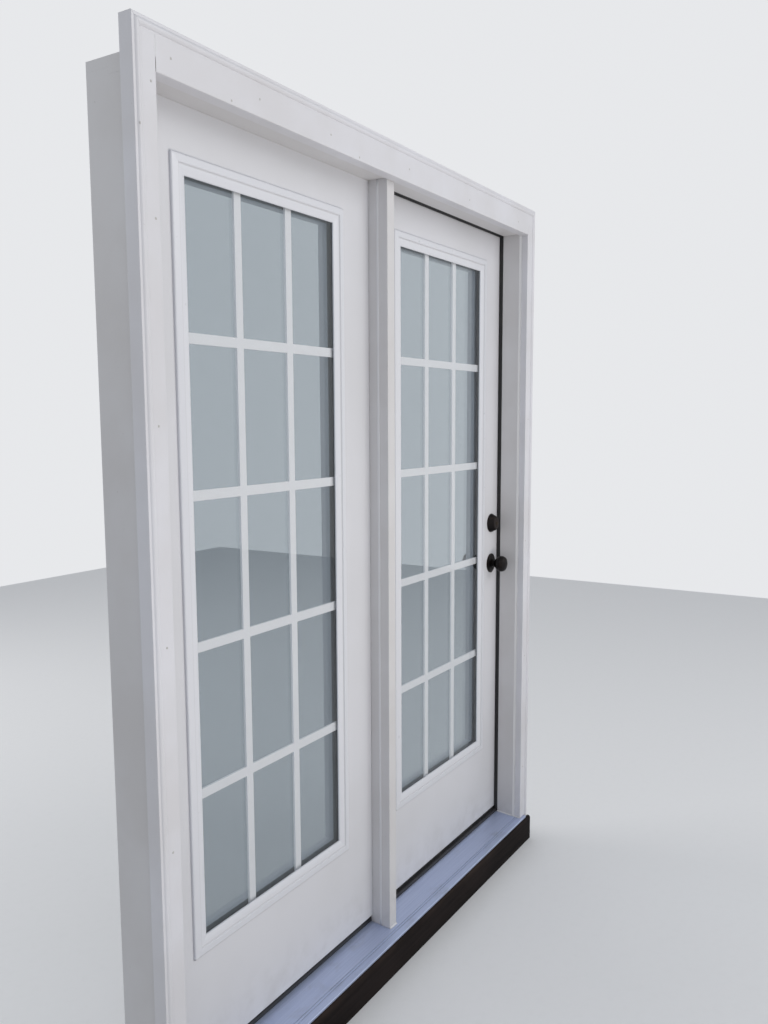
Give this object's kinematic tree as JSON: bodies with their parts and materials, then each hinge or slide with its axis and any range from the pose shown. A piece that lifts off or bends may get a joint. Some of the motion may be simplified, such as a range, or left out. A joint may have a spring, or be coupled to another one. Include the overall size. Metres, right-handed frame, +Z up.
{
  "type": "patio door unit",
  "caption": "White patio door unit with a fixed glazed leaf beside a glazed leaf hinged at the middle post, in a cased frame on a metal sill.",
  "frame": {"origin": "middle of the foot of the sub-sill, in the plane of the door stops' shoulders", "axes": "+X across the front to the right, +Y into the room, +Z up"},
  "size_m": [1.781, 0.2215, 2.2098],
  "materials": {
    "white_timber": "satin white paint on timber",
    "stained_timber": "dark stained timber, weathered",
    "raw_timber": "bare softwood inside the leaves",
    "sill_metal": "mill finish, slightly dulled",
    "cap_plastic": "dark brown moulded plastic",
    "leaf_skin": "smooth moulded skin, satin white",
    "foam": "rigid insulating foam",
    "lite_plastic": "moulded white plastic",
    "pane": "clear sealed glass",
    "spacer_metal": "dark spacer bar",
    "grille_paint": "white enamel",
    "seal": "black weather seal",
    "dark_bronze": "dark oiled bronze",
    "lock_steel": "zinc plated",
    "key_brass": "worn brass"
  },
  "bodies": {
    "frame": {"sub_sill": "stained_timber", "sill_core": "raw_timber", "sill_extrusion": "sill_metal", "threshold_cap": "cap_plastic", "jamb_left": "white_timber", "jamb_right": "white_timber", "jamb_head": "white_timber", "mullion_post": "white_timber", "mullion_cover": "white_timber", "casing_left": "white_timber", "casing_right": "white_timber", "casing_head": "white_timber", "band_left": "white_timber", "band_right": "white_timber", "band_head": "white_timber", "weatherstrip_hinge_side": "seal", "weatherstrip_latch_side": "seal", "weatherstrip_head": "seal", "panel_stops": "white_timber", "strike_plates": "dark_bronze", "fixed_outer_skin": "leaf_skin", "fixed_inner_skin": "leaf_skin", "fixed_edge_frame": "raw_timber", "fixed_core": "foam", "fixed_outer_lite_frame": "lite_plastic", "fixed_inner_lite_frame": "lite_plastic", "fixed_outer_pane": "pane", "fixed_inner_pane": "pane", "fixed_spacer": "spacer_metal", "fixed_grille": "grille_paint", "fixed_bottom_seal": "seal", "hinge_jamb_leaves": "dark_bronze", "hinge_pins": "dark_bronze"},
    "door_leaf": {"door_outer_skin": "leaf_skin", "door_inner_skin": "leaf_skin", "door_edge_frame": "raw_timber", "door_core": "foam", "door_outer_lite_frame": "lite_plastic", "door_inner_lite_frame": "lite_plastic", "door_outer_pane": "pane", "door_inner_pane": "pane", "door_spacer": "spacer_metal", "door_grille": "grille_paint", "door_sweep": "seal", "hinge_door_leaves": "dark_bronze", "outer_rose": "dark_bronze", "inner_rose": "dark_bronze", "latch_case": "lock_steel", "deadbolt_case": "lock_steel", "lock_faceplates": "dark_bronze", "deadbolt_housing": "dark_bronze", "thumb_turn_plate": "dark_bronze"},
    "knobs": {"outer_knob": "dark_bronze", "inner_knob": "dark_bronze", "knob_spindle": "lock_steel"},
    "latch": {"latch_bolt": "lock_steel"},
    "thumb_turn_set": {"thumb_turn": "dark_bronze", "deadbolt_tailpiece": "lock_steel", "key_plug": "key_brass"},
    "bolt": {"deadbolt": "lock_steel"}
  },
  "joints": [
    {"name": "door_swing", "type": "hinge", "parent": "frame", "child": "door_leaf", "pos_m": [0.01115, 0.065, 1.1805], "axis": [0, 0, 1], "range_deg": [0, 170]},
    {"name": "knob_turn", "type": "hinge", "parent": "door_leaf", "child": "knobs", "pos_m": [0.78265, 0.03525, 1.02], "axis": [0, 1, 0], "range_deg": [0, 60], "stiffness_Nm_per_rad": 0.3, "springref_deg": -17.19},
    {"name": "latch_slide", "type": "slide", "parent": "door_leaf", "child": "latch", "axis": [-1, 0, 0], "range_m": [0, 0.011]},
    {"name": "thumb_turn_turn", "type": "hinge", "parent": "door_leaf", "child": "thumb_turn_set", "pos_m": [0.78265, 0.03525, 1.16], "axis": [0, 1, 0], "range_deg": [0, 90]},
    {"name": "deadbolt_slide", "type": "slide", "parent": "door_leaf", "child": "bolt", "axis": [1, 0, 0], "range_m": [0, 0.0254]}
  ],
  "couplings": [
    {"joint": "latch_slide", "follows": "knob_turn", "m_per_rad": 0.0105},
    {"joint": "deadbolt_slide", "follows": "thumb_turn_turn", "m_per_rad": 0.01616}
  ]
}
